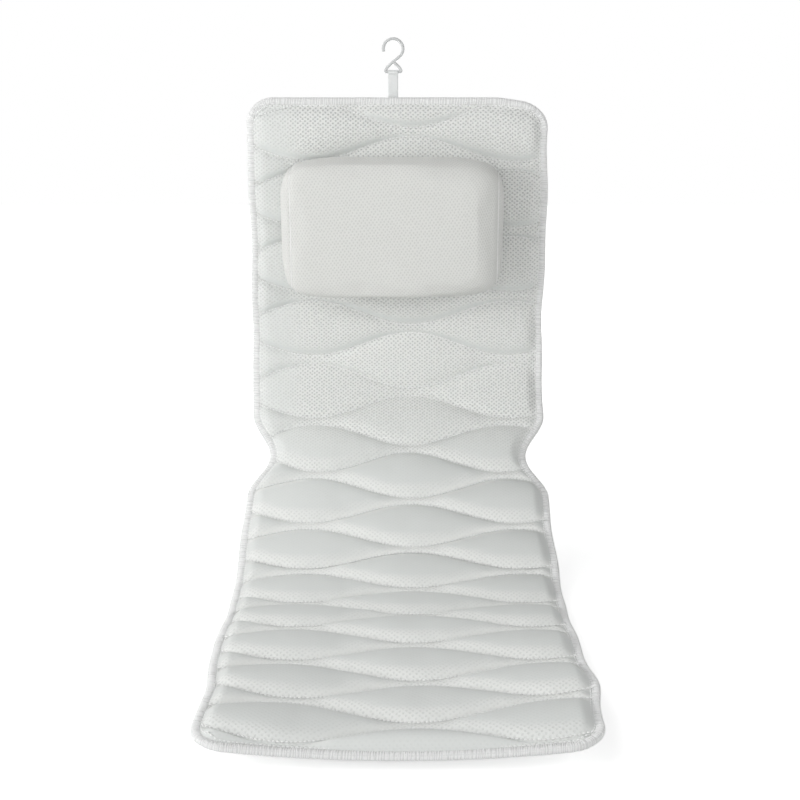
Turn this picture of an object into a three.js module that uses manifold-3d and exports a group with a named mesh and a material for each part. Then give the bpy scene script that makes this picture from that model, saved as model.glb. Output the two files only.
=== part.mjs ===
// A full-body bath pillow: a quilted mesh mat with a drawn-in waist, a lift-off head pillow,
// a hanging strap with its hook, and suction cups under the mat.
// Millimetres, +Z up, feet towards -Y. The origin is on the tub's floor, between the seat's two cups.
import * as THREE from "three";
import { mergeVertices } from "three/addons/utils/BufferGeometryUtils.js";
import Module from "manifold-3d";

// Mat outline, measured along the mat from its top edge
const MAT_WIDTH = 400;
const MAT_LENGTH = 1168;
const CORNER_RADIUS = 36;
const WAIST_AT = 505;
const WAIST_LENGTH = 120;
const WAIST_DEPTH = 27;
const KNEE_AT = 850;
const KNEE_LENGTH = 80;

// Side profile at rest: each run of mat turns steadily to its tilt from level, in degrees.
// The mat goes on straight after the last run.
const BACK_TILT = 92;
const BACK_STRAIGHT = 345;
const BACK_BEND = 90;
const SLOPE_RUN = 70;
const LEVEL_RUN = 65;
const KNEE_RUN = 70;
const DOWN_TO_SEAT = [
  { run: BACK_STRAIGHT, tilt: BACK_TILT },
  { run: BACK_BEND, tilt: 47 },
  { run: SLOPE_RUN, tilt: 36 },
  { run: SLOPE_RUN, tilt: 31 },
  { run: SLOPE_RUN, tilt: 23 },
  { run: SLOPE_RUN, tilt: 13 },
  { run: LEVEL_RUN, tilt: 0 },
];
const OVER_THE_KNEE = [
  { run: KNEE_RUN, tilt: -8 },
  { run: KNEE_RUN, tilt: 1.5 },
];

// The legs' sides curl up from the knee on
const LEG_CURL = 14;
const CURL_START = 900;
const CURL_LENGTH = 200;

// Layers of the mat
const BACKING_THICKNESS = 1.2;
const CORE_THICKNESS = 5;
const SEWN_THICKNESS = 1.6;
const LAYER_GAP = 0.7;
const CUT_GAP = 0.4;

// Quilting: sewn lines that wave across the mat, each the mirror of its neighbour
const LINE_PITCH = 44.6;
const FIRST_LINE = 22.4;
const WAVE_LENGTH = 272;
const WAVE_RISE = 16.5;
const WAVE_CENTRE = 18;
const QUILT_RISE = 11;
const CROWN_FULLNESS = 0.6;
const EDGE_FLAT = 13;
const EDGE_FADE = 22;

// Edge binding
const BINDING_WIDTH = 9;
const BINDING_THICKNESS = 1.2;
const BINDING_GAP = 0.5;
const EDGE_GAP = 0.9;

// Head pillow
const PILLOW_WIDTH = 292;
const PILLOW_HEIGHT = 178;
const PILLOW_DEPTH = 80;
const PILLOW_AT = 165;
const PILLOW_ACROSS = -8;
const PILLOW_SQUARENESS = 7;
const PILLOW_COVER = 1.6;
const PIPING_RADIUS = 1.5;
const PIPING_AT = 7;
const PIPING_SHARE = 0.98;
const FIT_GAP = 0.3;

// Hook-and-loop strips
const STRIP_WIDTH = 25;
const STRIP_LENGTH = 120;
const STRIP_THICKNESS = 2;
const STRIP_SPREAD = 75;
const PRESSED_RISE = 4;
const PRESSED_MARGIN = 22;

// Strap and hook
const STRAP_WIDTH = 13;
const STRAP_PLY = 1.2;
const STRAP_LENGTH = 32;
const STRAP_ACROSS = -6;
const TAIL_LENGTH = 16;
const LOOP_CLEARANCE = 0.4;
const HOOK_ROD = 4;
const CROOK_RADIUS = 13;
const CROOK_HEIGHT = 30;
const EYE_WIDTH = 25;
const EYE_HEIGHT = 14;
const CROOK_FROM = 190;
const CROOK_TO = -50;
const EYE_LEG_ACROSS = 7;
const EYE_LEG_UP = 7.7;
const EYE_CORNER_UP = 1.4;
const EYE_CORNER_DOWN = 0.5;

// Suction cups, in pairs along the mat
const CUP_RADIUS = 19;
const CUP_RIM = 2;
const CUP_LIP = 1;
const CUP_WALL = 2.5;
const CUP_HOLLOW = 5.5;
const CUP_SHOULDER = 4.4;
const CUP_DROP = 11;
const NECK_RADIUS = 4;
const HEAD_RADIUS = 7;
const HEAD_THICKNESS = 1.6;
const CUP_CLEARANCE = 0.4;
const CUP_SPREAD = 110;
const BACK_CUPS_FROM = 70;
const BACK_CUPS_TO = 300;
const LEG_CUPS_FROM = 985;
const LEG_CUPS_TO = 1105;

// Levels above the mat's underside
const CORE_LOW = BACKING_THICKNESS + LAYER_GAP;
const CORE_HIGH = CORE_LOW + CORE_THICKNESS;
const FACE_LOW = CORE_HIGH + LAYER_GAP;
const SEWN_LEVEL = FACE_LOW + SEWN_THICKNESS;
const PRESSED_LEVEL = SEWN_LEVEL + PRESSED_RISE;
const PILLOW_LEVEL = PRESSED_LEVEL + 2 * STRIP_THICKNESS + 3 * FIT_GAP;
const LAYER_INSET = BINDING_THICKNESS + EDGE_GAP;

// How finely curves are divided
const CHORD_ERROR = 0.15;
const FACE_CHORD_ERROR = 0.3;
const CORNER_STEPS = 6;
const STRAIGHT_STEP = 150;
const WAIST_STEP = 15;
const CURL_STEP = 20;
const CURL_COLUMNS = 10;
const FACE_COLUMNS = 12;
const LEAST_BAND_ROWS = 3;
const PILLOW_SEGMENTS = 36;
const PIPING_SIDES = 5;
const CUP_SEGMENTS = 10;
const LOOP_SEGMENTS = 12;
const ROD_SEGMENTS = 4;
const NEAR_ROD_STEPS = 40;
const FAR_ROD_STEPS = 10;
const CROOK_STEP = 20;
const MERGE_DISTANCE = 1e-3;

const wasm = await Module();
wasm.setup();

const radians = THREE.MathUtils.degToRad;
const smoothstep = THREE.MathUtils.smoothstep;
const clamp = THREE.MathUtils.clamp;
const lerp = THREE.MathUtils.lerp;

// One closed surface: shared vertices merged, collapsed faces dropped, faces pointing out
function closed(geometry) {
  const bare = new THREE.BufferGeometry();
  bare.setAttribute("position", geometry.getAttribute("position"));
  bare.setIndex(geometry.index);
  const merged = mergeVertices(bare, MERGE_DISTANCE);
  const old = merged.index.array;
  const faces = [];
  for (let i = 0; i < old.length; i += 3) {
    const [a, b, c] = [old[i], old[i + 1], old[i + 2]];
    if (a !== b && b !== c && c !== a) faces.push(a, b, c);
  }
  const corner = (i) => new THREE.Vector3().fromBufferAttribute(merged.attributes.position, i);
  let volume = 0;
  for (let i = 0; i < faces.length; i += 3) {
    volume += corner(faces[i]).dot(corner(faces[i + 1]).cross(corner(faces[i + 2])));
  }
  merged.setIndex(volume < 0 ? faces.reverse() : faces);
  return merged;
}

function solid(geometry) {
  const shape = closed(geometry);
  const vertProperties = shape.attributes.position.array;
  const triVerts = new Uint32Array(shape.index.array);
  return new wasm.Manifold(new wasm.Mesh({ numProp: 3, vertProperties, triVerts }));
}

function shaped(manifold) {
  const mesh = manifold.getMesh();
  const geometry = new THREE.BufferGeometry();
  geometry.setAttribute("position", new THREE.BufferAttribute(mesh.vertProperties, 3));
  geometry.setIndex(new THREE.BufferAttribute(mesh.triVerts, 1));
  return geometry;
}

const cut = (geometry, tools) =>
  shaped(tools.reduce((body, tool) => body.subtract(solid(tool)), solid(geometry)));

// Moves every vertex of a geometry by a function of its position and its number
function reshape(geometry, place) {
  const position = geometry.getAttribute("position");
  for (let i = 0; i < position.count; i += 1) {
    const point = place(new THREE.Vector3().fromBufferAttribute(position, i), i);
    position.setXYZ(i, point.x, point.y, point.z);
  }
  return geometry;
}

// The side profile as arcs, each with its start on the mat and in the Y-Z plane
const runs = [];
let start = { s: 0, y: 0, z: 0, tilt: radians(BACK_TILT) };
for (const { run, tilt } of [...DOWN_TO_SEAT, ...OVER_THE_KNEE, { run: Infinity }]) {
  const turn = tilt === undefined ? 0 : radians(tilt) - start.tilt;
  runs.push({ ...start, run, turn });
  if (run !== Infinity) start = alongRun(runs.at(-1), run);
}

function alongRun({ s, y, z, tilt, run, turn }, distance) {
  if (turn === 0) {
    return { s: s + distance, y: y - distance * Math.cos(tilt), z: z - distance * Math.sin(tilt), tilt };
  }
  const radius = run / turn;
  const end = tilt + distance / radius;
  return {
    s: s + distance,
    y: y - radius * (Math.sin(end) - Math.sin(tilt)),
    z: z + radius * (Math.cos(end) - Math.cos(tilt)),
    tilt: end,
  };
}

function profile(s) {
  const run = runs.findLast((each) => s >= each.s) ?? runs[0];
  return alongRun(run, s - run.s);
}

// The mat lies level where the seat's cups stand
const LEVEL_AT = DOWN_TO_SEAT.reduce((sum, each) => sum + each.run, 0);
const level = profile(LEVEL_AT);

const curlShare = (s) => smoothstep(s, CURL_START, CURL_START + CURL_LENGTH);
const curl = (u, s) => LEG_CURL * curlShare(s) * (u / (MAT_WIDTH / 2)) ** 2;
const curlSlope = (u, s) => (2 * LEG_CURL * curlShare(s) * u) / (MAT_WIDTH / 2) ** 2;

// Lays a point of the flat mat on the profile: u across, s along from the top edge, h above the underside
function lay(u, s, h) {
  const at = profile(s);
  const out = h - SEWN_LEVEL + curl(u, s);
  return new THREE.Vector3(
    u,
    at.y - level.y - out * Math.sin(at.tilt),
    at.z - level.z + CUP_DROP + SEWN_LEVEL + out * Math.cos(at.tilt),
  );
}

// A frame on the mat: X across, Y up the mat, Z out of its face
function frameOn(u, s, h) {
  const { tilt } = profile(s);
  const lean = Math.atan(curlSlope(u, s));
  const up = new THREE.Vector3(0, Math.cos(tilt), Math.sin(tilt));
  const across = new THREE.Vector3(1, 0, 0).applyAxisAngle(up, -lean);
  const out = new THREE.Vector3().crossVectors(across, up);
  return new THREE.Matrix4().makeBasis(across, up, out).setPosition(lay(u, s, h));
}

// Half the mat's width at s, for a layer set in from the finished edge
function halfWidth(s, inset) {
  const x = (s - WAIST_AT) / (WAIST_LENGTH / 2);
  const waist = Math.abs(x) < 1 ? WAIST_DEPTH * Math.cos((x * Math.PI) / 2) ** 2 : 0;
  const radius = CORNER_RADIUS - inset;
  const fromEnd = clamp(Math.min(s, MAT_LENGTH - s) - inset, 0, radius);
  const corner = radius - Math.sqrt(radius ** 2 - (radius - fromEnd) ** 2);
  return MAT_WIDTH / 2 - inset - waist - corner;
}

// How far apart two places on the mat may be, so that a straight line between them stays close to it
function stepAt(s, error) {
  const { run, turn } = runs.findLast((each) => s >= each.s) ?? runs[0];
  const bend = turn === 0 ? STRAIGHT_STEP : Math.sqrt(8 * Math.abs(run / turn) * error);
  const waist = Math.abs(s - WAIST_AT) < WAIST_LENGTH / 2 ? WAIST_STEP : STRAIGHT_STEP;
  const curled = s >= CURL_START && s < CURL_START + CURL_LENGTH ? CURL_STEP : STRAIGHT_STEP;
  return Math.min(bend, waist, curled);
}

// Places along the mat between two cuts, close enough for its bends, its waist, its curl and its corners
function rowsBetween(from, to, inset) {
  const stops = [from, to, CURL_START, CURL_START + CURL_LENGTH, ...runs.map((each) => each.s)];
  const corners = [];
  for (let i = 0; i <= CORNER_STEPS; i += 1) {
    const down = inset + (CORNER_RADIUS - inset) * (1 - Math.cos((i / CORNER_STEPS) * (Math.PI / 2)));
    corners.push(down, MAT_LENGTH - down);
  }
  const kept = [...stops, ...corners].filter((s) => s >= from && s <= to).sort((a, b) => a - b);
  const rows = [];
  kept.slice(0, -1).forEach((s, i) => {
    const gap = kept[i + 1] - s;
    const count = Math.ceil(gap / stepAt(s + gap / 2, CHORD_ERROR));
    for (let k = 0; k < count; k += 1) rows.push(s + (gap * k) / count);
  });
  return [...rows, to];
}

// The five lengths of the mat; the first and last end inside the binding
const waistStart = WAIST_AT - WAIST_LENGTH / 2;
const waistEnd = WAIST_AT + WAIST_LENGTH / 2;
const kneeStart = KNEE_AT - KNEE_LENGTH / 2;
const kneeEnd = KNEE_AT + KNEE_LENGTH / 2;
const LENGTHS = [
  { name: "back", from: 0, to: waistStart, columns: 2, cupsAt: [BACK_CUPS_FROM, BACK_CUPS_TO] },
  { name: "waist", from: waistStart, to: waistEnd, columns: 2, cupsAt: [] },
  { name: "seat", from: waistEnd, to: kneeStart, columns: 2, cupsAt: [LEVEL_AT] },
  { name: "knee", from: kneeStart, to: kneeEnd, columns: CURL_COLUMNS, cupsAt: [] },
  {
    name: "legs",
    from: kneeEnd,
    to: MAT_LENGTH,
    columns: CURL_COLUMNS,
    cupsAt: [LEG_CUPS_FROM, LEG_CUPS_TO],
  },
];

function cutsOf({ from, to }, inset) {
  const first = from === 0 ? inset : from + CUT_GAP / 2;
  const last = to === MAT_LENGTH ? MAT_LENGTH - inset : to - CUT_GAP / 2;
  return [first, last];
}

// A flat layer of one length, between two levels
function layer(length, low, high) {
  const rows = rowsBetween(...cutsOf(length, LAYER_INSET), LAYER_INSET);
  const steps = rows.length - 1;
  const slab = new THREE.BoxGeometry(2, 1, 1, length.columns, steps, 1);
  return reshape(slab, ({ x, y, z }) => {
    const s = rows[Math.round((0.5 - y) * steps)];
    return lay(x * halfWidth(s, LAYER_INSET), s, z < 0 ? low : high);
  });
}

// Where sewn line j runs at u across
function sewnLine(j, u) {
  const wave = WAVE_RISE * Math.cos((2 * Math.PI * (u - WAVE_CENTRE)) / WAVE_LENGTH);
  return FIRST_LINE + j * LINE_PITCH + (j % 2 === 0 ? wave : -wave);
}

const underPillow = (u, s) =>
  Math.abs(u - PILLOW_ACROSS) < PILLOW_WIDTH / 2 + PRESSED_MARGIN &&
  Math.abs(s - PILLOW_AT) < PILLOW_HEIGHT / 2 + PRESSED_MARGIN;

// The quilted face's level: it swells between sewn lines and is pressed down under the pillow
function quiltLevel(u, s) {
  let j = Math.floor((s - FIRST_LINE) / LINE_PITCH) - 1;
  while (sewnLine(j + 1, u) <= s) j += 1;
  const width = sewnLine(j + 1, u) - sewnLine(j, u);
  const share = (s - sewnLine(j, u)) / width;
  const crown = (1 - (2 * share - 1) ** 2) ** CROWN_FULLNESS;
  const edge = Math.min(halfWidth(s, 0) - Math.abs(u), s, MAT_LENGTH - s);
  const fade = smoothstep(edge, EDGE_FLAT, EDGE_FLAT + EDGE_FADE);
  const swell = QUILT_RISE * (width / (LINE_PITCH + 2 * WAVE_RISE));
  const rise = swell * crown * fade;
  return SEWN_LEVEL + (underPillow(u, s) ? Math.min(rise, PRESSED_RISE) : rise);
}

// The face of one length: its rows follow the sewn lines, held between the length's two cuts
function face(length) {
  const [first, last] = cutsOf(length, LAYER_INSET);
  const low = length.from === 0 ? EDGE_FLAT : first;
  const high = length.to === MAT_LENGTH ? MAT_LENGTH - EDGE_FLAT : last;
  const side = MAT_WIDTH / 2;
  const inner = (side - EDGE_FLAT) / (side - LAYER_INSET);
  const across = [-1];
  for (let i = 0; i <= FACE_COLUMNS; i += 1) across.push(inner * ((2 * i) / FACE_COLUMNS - 1));
  across.push(1);
  const rows = [() => first, () => low];
  const lines = Math.ceil(MAT_LENGTH / LINE_PITCH);
  for (let j = -2; j <= lines; j += 1) {
    const middle = FIRST_LINE + (j + 0.5) * LINE_PITCH;
    const wanted = Math.ceil((LINE_PITCH + 2 * WAVE_RISE) / stepAt(middle, FACE_CHORD_ERROR));
    const count = Math.max(wanted, LEAST_BAND_ROWS);
    for (let k = 0; k < count; k += 1) {
      const between = (u) => lerp(sewnLine(j, u), sewnLine(j + 1, u), k / count);
      const row = (u) => clamp(between(u), low, high);
      const places = across.map((x) => row(x * side));
      if (places.some((s) => s > low) && places.some((s) => s < high)) rows.push(row);
    }
  }
  rows.push(() => high, () => last);
  const steps = rows.length - 1;
  const slab = new THREE.BoxGeometry(2, 1, 1, across.length - 1, steps, 1);
  return reshape(slab, ({ x, y, z }) => {
    const column = across[Math.round(((x + 1) / 2) * (across.length - 1))];
    const s = rows[Math.round((0.5 - y) * steps)](column * side);
    const u = column * halfWidth(s, LAYER_INSET);
    return lay(u, s, z < 0 ? FACE_LOW : quiltLevel(u, s));
  });
}

// The finished edge as places [u, s]: round an end of the mat, or along one side
function edgePath(length) {
  const [first, last] = cutsOf(length, 0);
  const rows = rowsBetween(first, last, 0);
  const side = (sign) => rows.map((s) => [sign * halfWidth(s, 0), s]);
  const end = (s) => {
    const reach = MAT_WIDTH / 2 - CORNER_RADIUS;
    const places = [];
    for (let i = 1; i < length.columns; i += 1) places.push([reach * ((2 * i) / length.columns - 1), s]);
    return places;
  };
  if (length.from === 0) return [[...side(-1).reverse(), ...end(0), ...side(1)]];
  if (length.to === MAT_LENGTH) return [[...side(1), ...end(MAT_LENGTH).reverse(), ...side(-1).reverse()]];
  return [side(-1).reverse(), side(1)];
}

// A binding: a channel section carried along the edge, its open side inwards
function binding(path) {
  const low = -BINDING_GAP - BINDING_THICKNESS;
  const high = SEWN_LEVEL + BINDING_GAP + BINDING_THICKNESS;
  const wall = BINDING_THICKNESS;
  const channel = new THREE.Shape(
    [
      [BINDING_WIDTH, low],
      [0, low],
      [0, high],
      [BINDING_WIDTH, high],
      [BINDING_WIDTH, high - wall],
      [wall, high - wall],
      [wall, low + wall],
      [BINDING_WIDTH, low + wall],
    ].map(([inwards, h]) => new THREE.Vector2(inwards, h)),
  );
  const steps = path.length - 1;
  const inwards = path.map((_, i) => {
    const [u0, s0] = path[Math.max(i - 1, 0)];
    const [u1, s1] = path[Math.min(i + 1, steps)];
    const along = new THREE.Vector2(u1 - u0, s1 - s0).normalize();
    if (i === 0 || i === steps) return new THREE.Vector2(-Math.sign(path[i][0]), 0);
    return new THREE.Vector2(-along.y, along.x);
  });
  const band = new THREE.ExtrudeGeometry(channel, { depth: 1, steps, bevelEnabled: false });
  return reshape(band, ({ x, y, z }) => {
    const i = Math.round(z * steps);
    return lay(path[i][0] + inwards[i].x * x, path[i][1] + inwards[i].y * x, y);
  });
}

// A lathe about Z, from points [radius, height]
function turned(points, segments) {
  const profilePoints = points.map(([radius, height]) => new THREE.Vector2(radius, height));
  return new THREE.LatheGeometry(profilePoints, segments).rotateX(Math.PI / 2);
}

const disc = (radius, low, high) =>
  turned(
    [
      [0, low],
      [radius, low],
      [radius, high],
      [0, high],
    ],
    CUP_SEGMENTS,
  );

// A suction cup, hanging from the mat's underside at height 0
function suctionCup() {
  const headLow = BACKING_THICKNESS + FIT_GAP;
  const inside = CUP_SHOULDER - CUP_DROP;
  return turned(
    [
      [0, CUP_HOLLOW - CUP_DROP],
      [CUP_RADIUS / 2, inside],
      [CUP_RADIUS - CUP_RIM, -CUP_DROP],
      [CUP_RADIUS, -CUP_DROP],
      [CUP_RADIUS, CUP_LIP - CUP_DROP],
      [CUP_RADIUS / 2, inside + CUP_WALL],
      [NECK_RADIUS + CUP_WALL / 2, -FIT_GAP],
      [NECK_RADIUS, -FIT_GAP],
      [NECK_RADIUS, headLow],
      [HEAD_RADIUS, headLow],
      [HEAD_RADIUS, headLow + HEAD_THICKNESS],
      [0, headLow + HEAD_THICKNESS],
    ],
    CUP_SEGMENTS,
  );
}

const cupPlaces = (length) =>
  length.cupsAt.flatMap((s) => [-CUP_SPREAD, CUP_SPREAD].map((u) => ({ u, s })));

const holeTools = (length, radius, low, high) =>
  cupPlaces(length).map(({ u, s }) => disc(radius, low, high).applyMatrix4(frameOn(u, s, 0)));

// The backing has a hole for each cup's neck, and the core a pocket for its head
function backing(length) {
  const holes = holeTools(length, NECK_RADIUS + CUP_CLEARANCE, -CUP_CLEARANCE, CORE_LOW);
  return cut(layer(length, 0, BACKING_THICKNESS), holes);
}

function core(length) {
  const headHigh = BACKING_THICKNESS + FIT_GAP + HEAD_THICKNESS;
  const pockets = holeTools(length, HEAD_RADIUS + CUP_CLEARANCE, 0, headHigh + FIT_GAP);
  return cut(layer(length, CORE_LOW, CORE_HIGH), pockets);
}

// The pillow's shapes are turned, then squared off.
// A point of the profile is [share of the half size, height, inset]
function squared(points, segments) {
  const shape = turned(points, segments);
  const half = new THREE.Vector2(PILLOW_WIDTH / 2, PILLOW_HEIGHT / 2);
  return reshape(shape, ({ x, y, z }, i) => {
    const [share, , inset] = points[i % points.length];
    const angle = Math.atan2(y * half.y, x * half.x);
    const a = Math.abs(Math.cos(angle)) / half.x;
    const b = Math.abs(Math.sin(angle)) / half.y;
    const reach = (a ** PILLOW_SQUARENESS + b ** PILLOW_SQUARENESS) ** (-1 / PILLOW_SQUARENESS);
    const point = new THREE.Vector2(Math.cos(angle), Math.sin(angle)).multiplyScalar(reach * share);
    const shrink = new THREE.Vector2(half.x - inset, half.y - inset).divide(half);
    return new THREE.Vector3(point.x * shrink.x, point.y * shrink.y, z);
  });
}

// The pillow's outer form from the middle of its crown round to the rear rim
const PILLOW_FORM = [
  [0, 1],
  [0.5, 0.99],
  [0.8, 0.96],
  [0.93, 0.89],
  [0.98, 0.76],
  [1, 0.5],
  [0.995, 0.28],
  [0.98, 0.12],
  [0.955, 0],
];
const REAR_SHARE = PILLOW_FORM.at(-1)[0];

const pillowForm = (inset, rear) =>
  PILLOW_FORM.map(([share, height]) => [share, Math.max(height * (PILLOW_DEPTH - inset), rear), inset]);

function pillowCover() {
  const outside = pillowForm(0, 0);
  const inside = pillowForm(PILLOW_COVER, 0).reverse();
  return squared([...outside, ...inside], PILLOW_SEGMENTS);
}

function pillowRearPanel() {
  const inset = PILLOW_COVER + FIT_GAP;
  return squared(
    [
      [0, 0, inset],
      [REAR_SHARE, 0, inset],
      [REAR_SHARE, PILLOW_COVER, inset],
      [0, PILLOW_COVER, inset],
    ],
    PILLOW_SEGMENTS,
  );
}

function pillowFill() {
  const form = pillowForm(PILLOW_COVER + FIT_GAP, PILLOW_COVER + FIT_GAP);
  return squared([...form, [0, PILLOW_COVER + FIT_GAP, 0]], PILLOW_SEGMENTS);
}

function pillowPiping() {
  const points = [];
  for (let i = 0; i <= PIPING_SIDES; i += 1) {
    const angle = (i / PIPING_SIDES) * 2 * Math.PI;
    const out = PIPING_RADIUS * (1 + Math.cos(angle)) + FIT_GAP;
    points.push([PIPING_SHARE, PIPING_AT + PIPING_RADIUS * Math.sin(angle), -out]);
  }
  return squared(points, PILLOW_SEGMENTS);
}

const strip = () => new THREE.BoxGeometry(STRIP_WIDTH, STRIP_LENGTH, STRIP_THICKNESS);

// The strap stands on the top edge, behind the binding; X is across, Y up, Z out of the mat's face
const STRAP_THICKNESS = 2 * STRAP_PLY;
const STRAP_LEVEL = -BINDING_GAP - BINDING_THICKNESS - FIT_GAP - STRAP_THICKNESS / 2;
const HINGE_RISE = STRAP_THICKNESS / 2 + FIT_GAP;
const EYE_RADIUS = HOOK_ROD / 2 + LOOP_CLEARANCE;

function strapTail() {
  const tail = new THREE.BoxGeometry(STRAP_WIDTH, TAIL_LENGTH, STRAP_THICKNESS);
  return tail.translate(0, -TAIL_LENGTH / 2, 0);
}

// The free strap: two plies from a round hem to the loop that holds the hook's bar
function strapLoop() {
  const half = STRAP_THICKNESS / 2;
  const outer = EYE_RADIUS + STRAP_PLY;
  const top = STRAP_LENGTH - HINGE_RISE;
  const spread = Math.asin(half / outer);
  const outline = new THREE.Shape();
  outline.absarc(0, 0, half, Math.PI, 2 * Math.PI, false);
  outline.absarc(0, top, outer, -Math.PI / 2 + spread, (3 * Math.PI) / 2 - spread, false);
  outline.holes.push(new THREE.Path().absarc(0, top, EYE_RADIUS, 0, 2 * Math.PI, true));
  const options = { depth: STRAP_WIDTH, bevelEnabled: false, curveSegments: LOOP_SEGMENTS };
  const band = new THREE.ExtrudeGeometry(outline, options);
  return band.translate(0, 0, -STRAP_WIDTH / 2).rotateY(Math.PI / 2);
}

function rod(points, steps) {
  const extrudePath = new THREE.CatmullRomCurve3(points.map(([x, y]) => new THREE.Vector3(x, y, 0)));
  const section = new THREE.Shape().absarc(0, 0, HOOK_ROD / 2, 0, 2 * Math.PI, false);
  return new THREE.ExtrudeGeometry(section, { extrudePath, steps, curveSegments: ROD_SEGMENTS });
}

// The hook: one rod from the crook's tip down round the eye, and the eye's other leg back to the neck
function hook() {
  const eye = EYE_WIDTH / 2 - HOOK_ROD / 2;
  const bend = HOOK_ROD / 2;
  const crook = [];
  for (let degrees = CROOK_FROM; degrees >= CROOK_TO; degrees -= CROOK_STEP) {
    const angle = radians(degrees);
    crook.push([CROOK_RADIUS * Math.cos(angle), CROOK_HEIGHT + CROOK_RADIUS * Math.sin(angle)]);
  }
  const leg = (sign) => [
    [sign * EYE_LEG_ACROSS, EYE_LEG_UP],
    [sign * (eye - bend / 2), 2 * bend],
  ];
  const corner = [
    [-eye, EYE_CORNER_UP],
    [bend - eye, 0],
  ];
  const near = [...crook, [bend, EYE_HEIGHT], ...leg(-1), ...corner, [0, 0], [eye - bend / 2, 0]];
  const far = [[-bend, EYE_HEIGHT], ...leg(1), [eye - bend / 2, -EYE_CORNER_DOWN]];
  return shaped(solid(rod(near, NEAR_ROD_STEPS)).add(solid(rod(far, FAR_ROD_STEPS))));
}

// Finishes: colour, roughness
const FINISHES = {
  face: ["#d4d6d3", 0.95],
  core: ["#e6e6e2", 0.95],
  backing: ["#c9ccca", 0.95],
  binding: ["#e4e6e5", 0.85],
  pillow: ["#d7d8d4", 0.95],
  fill: ["#ececea", 1],
  strip: ["#dddddb", 1],
  strap: ["#dcdede", 0.8],
  hook: ["#eceded", 0.35],
  cup: ["#dfe6e8", 0.3],
};

function piece(name, geometry, finish) {
  const [color, roughness] = FINISHES[finish];
  const material = new THREE.MeshStandardMaterial({ color, roughness, metalness: 0 });
  const mesh = new THREE.Mesh(closed(geometry), material);
  mesh.name = name;
  return mesh;
}

function groupAt(matrix, ...pieces) {
  const group = new THREE.Group();
  group.applyMatrix4(matrix);
  group.add(...pieces);
  return group;
}

const bathPillow = new THREE.Group();

for (const length of LENGTHS) {
  bathPillow.add(piece(`${length.name}_face`, face(length), "face"));
  bathPillow.add(piece(`${length.name}_core`, core(length), "core"));
  bathPillow.add(piece(`${length.name}_backing`, backing(length), "backing"));
  const paths = edgePath(length);
  const sides = paths.length === 1 ? [""] : ["_left", "_right"];
  paths.forEach((path, i) => {
    bathPillow.add(piece(`${length.name}_binding${sides[i]}`, binding(path), "binding"));
  });
  cupPlaces(length).forEach(({ u, s }, i) => {
    const cup = piece(`${length.name}_cup_${i + 1}`, suctionCup(), "cup");
    bathPillow.add(groupAt(frameOn(u, s, 0), cup));
  });
}

// Strips on the mat and on the pillow, one pair each side
for (const [side, sign] of [["left", -1], ["right", 1]]) {
  const across = PILLOW_ACROSS + sign * STRIP_SPREAD;
  const loopLevel = PRESSED_LEVEL + FIT_GAP + STRIP_THICKNESS / 2;
  const hookLevel = loopLevel + STRIP_THICKNESS + FIT_GAP;
  const loops = piece(`loop_strip_${side}`, strip(), "strip");
  const hooks = piece(`hook_strip_${side}`, strip(), "strip");
  bathPillow.add(groupAt(frameOn(across, PILLOW_AT, loopLevel), loops));
  bathPillow.add(groupAt(frameOn(across, PILLOW_AT, hookLevel), hooks));
}

bathPillow.add(
  groupAt(
    frameOn(PILLOW_ACROSS, PILLOW_AT, PILLOW_LEVEL),
    piece("pillow_cover", pillowCover(), "pillow"),
    piece("pillow_rear_panel", pillowRearPanel(), "pillow"),
    piece("pillow_fill", pillowFill(), "fill"),
    piece("pillow_piping", pillowPiping(), "binding"),
  ),
);

// The tail is sewn to the back, the loop turns at the top edge and the hook turns in the loop
const strapAt = (s) => frameOn(STRAP_ACROSS, s, STRAP_LEVEL);
bathPillow.add(groupAt(strapAt(0), piece("strap_tail", strapTail(), "strap")));
bathPillow.add(groupAt(strapAt(-HINGE_RISE), piece("strap_loop", strapLoop(), "strap")));
bathPillow.add(groupAt(strapAt(-STRAP_LENGTH), piece("hook", hook(), "hook")));

export default bathPillow;
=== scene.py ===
import math
import random

import bmesh
import bpy
import numpy as np
from mathutils import Matrix, Vector, noise


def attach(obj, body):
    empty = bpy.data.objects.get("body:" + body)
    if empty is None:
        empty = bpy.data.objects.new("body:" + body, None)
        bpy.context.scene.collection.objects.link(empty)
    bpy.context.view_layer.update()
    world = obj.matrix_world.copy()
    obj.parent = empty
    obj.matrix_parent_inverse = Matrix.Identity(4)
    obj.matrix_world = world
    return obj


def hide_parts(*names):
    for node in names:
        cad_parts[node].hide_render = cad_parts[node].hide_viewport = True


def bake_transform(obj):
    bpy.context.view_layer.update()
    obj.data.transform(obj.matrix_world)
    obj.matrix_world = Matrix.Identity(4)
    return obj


# A full-body bath pillow: quilted mesh mat, overlocked edge, peel-off head pillow, webbing strap,
# hanging hook and suction cups. Every piece is made on the mat laid flat (X across, Y up the mat from
# its top edge, Z out of the face, 0 at the underside) and is then bent to the tub. Metres.
# Below, u is a place across the mat and s is the distance down it from its top edge.

# The mat, laid flat
MAT_WIDTH = 0.400
MAT_LENGTH = 1.168
SIDE = MAT_WIDTH / 2
CORNER_RADIUS = 0.036
WAIST_AT = 0.501
WAIST_LENGTH = 0.136
WAIST_DEPTH = 0.027

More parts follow.
